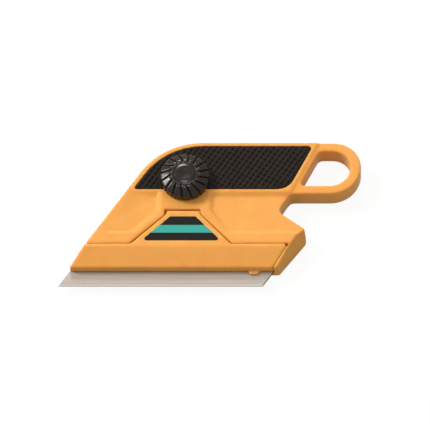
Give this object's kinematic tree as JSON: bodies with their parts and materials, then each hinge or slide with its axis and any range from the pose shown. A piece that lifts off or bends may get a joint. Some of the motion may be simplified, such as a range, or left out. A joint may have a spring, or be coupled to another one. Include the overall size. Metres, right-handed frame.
{
  "type": "razor scraper",
  "caption": "Flat palm-size scraper with a wide slanted steel blade, a rocking clamp cover, a ribbed clamp knob, a textured grip and a finger loop.",
  "frame": {"origin": "bottom centre of the whole tool's box, on the flat back that it lies on", "axes": "+X along the cutting edge towards the finger loop, +Y from the cutting edge to the handle's top, +Z out of the front"},
  "size_m": [0.148, 0.0768, 0.0188],
  "materials": {
    "orange_plastic": "satin moulded plastic",
    "grip_rubber": "diamond-textured elastomer",
    "knob_plastic": "smooth moulded plastic",
    "blade_steel": "ground tool steel",
    "zinc_steel": "zinc plated",
    "label_film": "printed film, black with one plain teal band"
  },
  "bodies": {
    "handle": {"body": "orange_plastic", "front_grip": "grip_rubber", "rear_grip": "grip_rubber", "rear_plate": "orange_plastic", "rear_screws": "zinc_steel", "pivot_pin": "zinc_steel", "blade_pegs": "zinc_steel", "knob_washer": "zinc_steel"},
    "cover": {"clamp_cover": "orange_plastic", "cover_label": "label_film"},
    "knob": {"clamp_knob": "knob_plastic", "knob_cap": "knob_plastic", "clamp_screw": "zinc_steel", "retaining_ring": "zinc_steel"},
    "nut": {"clamp_nut": "zinc_steel"},
    "blade": {"blade": "blade_steel"}
  },
  "joints": [
    {"name": "knob_turn", "type": "hinge", "parent": "handle", "child": "knob", "pos_m": [-0.0122, 0.0171, 0.0124], "axis": [0, 0, 1], "range_deg": [0, 540]},
    {"name": "cover_rock", "type": "hinge", "parent": "handle", "child": "cover", "pos_m": [-0.0122, -0.0024, 0.007], "axis": [-1, 0, 0], "range_deg": [0, 3.5]},
    {"name": "nut_travel", "type": "slide", "parent": "handle", "child": "nut", "axis": [0, 0, -1], "range_m": [0, 0.0012]},
    {"name": "blade_slide", "type": "slide", "parent": "handle", "child": "blade", "axis": [-0.5592, -0.829, 0], "range_m": [0, 0.012]}
  ],
  "couplings": [
    {"joint": "knob_turn", "follows": "cover_rock", "ratio": 154},
    {"joint": "nut_travel", "follows": "cover_rock", "m_per_rad": 0.0196}
  ]
}
